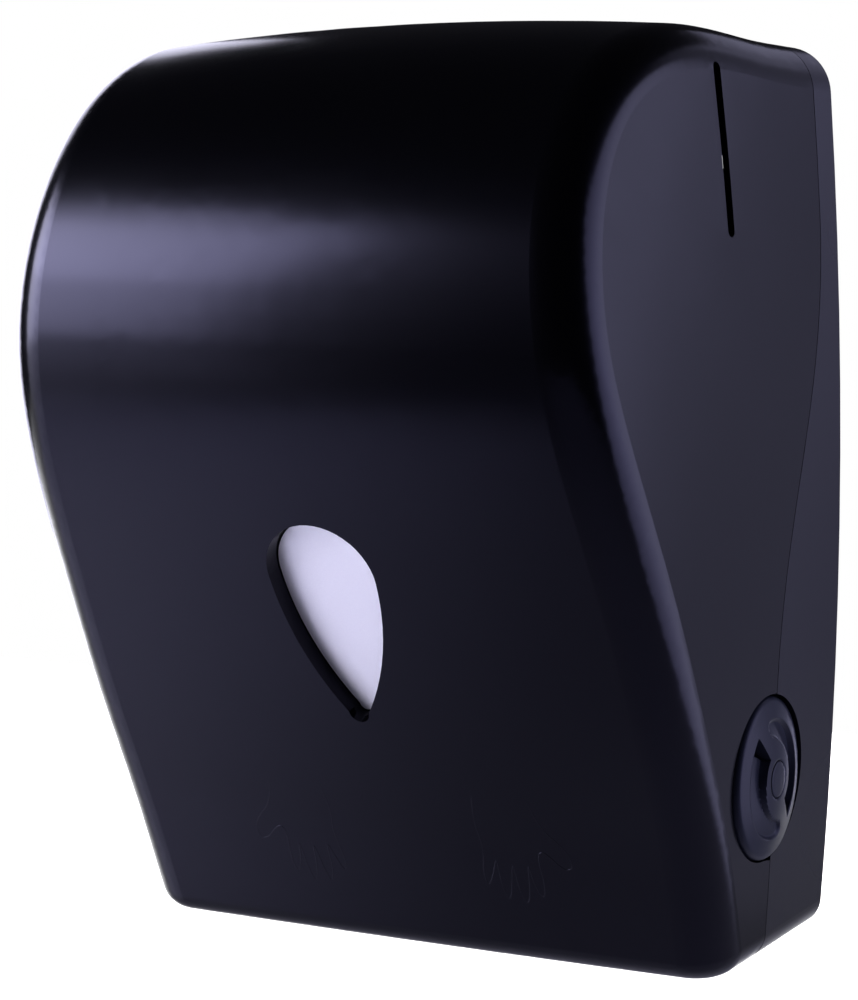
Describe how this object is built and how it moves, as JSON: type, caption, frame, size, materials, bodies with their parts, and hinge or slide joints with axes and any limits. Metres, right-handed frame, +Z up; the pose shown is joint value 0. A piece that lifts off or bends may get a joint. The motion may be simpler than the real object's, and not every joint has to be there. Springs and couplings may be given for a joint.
{
  "type": "autocut towel dispenser",
  "caption": "Wall-hung roll towel dispenser with a hinged drop-badge cover, a side feed knob, and a drum whose swinging knife cuts each sheet.",
  "frame": {"origin": "middle of the wall screw pattern, on the back face that lies on the wall", "axes": "+X to the viewer's right, -Y out of the front, +Y into the wall, +Z up"},
  "size_m": [0.288, 0.2029, 0.3722],
  "materials": {
    "blade_steel": "ground stainless steel",
    "bright_steel": "bright drawn steel",
    "cover_plastic": "dark navy-black moulded ABS, satin gloss",
    "drum_plastic": "mid grey moulded plastic",
    "grip_rubber": "black moulded rubber",
    "housing_plastic": "dark grey-navy moulded ABS, fine satin",
    "hub_plastic": "blue moulded plastic",
    "inlay_silver": "satin silver-white lacquer",
    "inner_plastic": "dark grey moulded plastic",
    "knob_plastic": "dark blue-grey moulded ABS, satin",
    "lock_zinc": "plated zinc die casting",
    "spring_steel": "drawn spring wire",
    "white_acetal": "natural white acetal",
    "zinc_steel": "zinc-plated sheet steel"
  },
  "bodies": {
    "housing": {"rear_housing": "housing_plastic", "hinge_pins": "bright_steel", "lock_keeper": "zinc_steel", "right_side_frame": "zinc_steel", "left_side_frame": "zinc_steel", "tie_rods": "bright_steel", "frame_screws": "bright_steel", "shaft_bushes": "white_acetal", "outlet_guide": "inner_plastic", "knife_cam": "white_acetal", "spring_anchor_pin": "bright_steel", "return_spring": "spring_steel", "pinch_pivots": "bright_steel", "left_roll_arm": "inner_plastic", "arm_screws": "bright_steel", "arm_hinge_pin": "bright_steel"},
    "cover": {"cover_shell": "cover_plastic", "badge_inlay": "inlay_silver"},
    "lock": {"lock_barrel": "lock_zinc", "lock_cam": "zinc_steel"},
    "drum": {"drum_front_half": "drum_plastic", "drum_rear_half": "drum_plastic", "drum_shaft": "bright_steel", "grip_bands": "grip_rubber", "feed_knob": "knob_plastic", "knob_cap": "knob_plastic", "crank_disc": "white_acetal", "crank_pin": "bright_steel"},
    "knife": {"knife_carrier": "inner_plastic", "knife_blade": "blade_steel", "follower_arm": "zinc_steel"},
    "cam_follower": {"follower_roller": "white_acetal"},
    "pinch_frame": {"pinch_arms": "zinc_steel", "pinch_shaft": "bright_steel"},
    "pinch_roll": {"pinch_roller": "inner_plastic", "pinch_tyres": "grip_rubber"},
    "right_arm": {"right_roll_arm": "inner_plastic"},
    "right_hub": {"right_roll_hub": "hub_plastic"},
    "left_hub": {"left_roll_hub": "hub_plastic"}
  },
  "joints": [
    {"name": "cover_swing", "type": "hinge", "parent": "housing", "child": "cover", "pos_m": [0, -0.069, -0.191], "axis": [1, 0, 0], "range_deg": [0, 90]},
    {"name": "lock_turn", "type": "hinge", "parent": "cover", "child": "lock", "pos_m": [0, -0.06, 0.16], "axis": [0, 0, -1], "range_deg": [0, 90]},
    {"name": "drum_turn", "type": "hinge", "parent": "housing", "child": "drum", "pos_m": [0, -0.066, -0.123], "axis": [1, 0, 0], "continuous": true, "deforming": ["return_spring"]},
    {"name": "knife_swing", "type": "hinge", "parent": "drum", "child": "knife", "pos_m": [0, -0.06916, -0.09098], "axis": [-1, 0, 0], "range_deg": [0, 24]},
    {"name": "follower_turn", "type": "hinge", "parent": "knife", "child": "cam_follower", "pos_m": [0, -0.09284, -0.10831], "axis": [1, 0, 0], "continuous": true},
    {"name": "pinch_swing", "type": "hinge", "parent": "housing", "child": "pinch_frame", "pos_m": [0, -0.06253, -0.06574], "axis": [1, 0, 0], "range_deg": [0, 12]},
    {"name": "pinch_turn", "type": "hinge", "parent": "pinch_frame", "child": "pinch_roll", "pos_m": [0, -0.03795, -0.08294], "axis": [1, 0, 0], "continuous": true},
    {"name": "arm_swing", "type": "hinge", "parent": "housing", "child": "right_arm", "pos_m": [0.112, -0.014, 0.04], "axis": [0, 0, 1], "range_deg": [0, 10]},
    {"name": "right_hub_turn", "type": "hinge", "parent": "right_arm", "child": "right_hub", "pos_m": [0, -0.103, 0.04], "axis": [1, 0, 0], "continuous": true},
    {"name": "left_hub_turn", "type": "hinge", "parent": "housing", "child": "left_hub", "pos_m": [0, -0.103, 0.04], "axis": [1, 0, 0], "continuous": true}
  ],
  "couplings": [
    {"joint": "pinch_turn", "follows": "drum_turn", "ratio": -4.4}
  ]
}
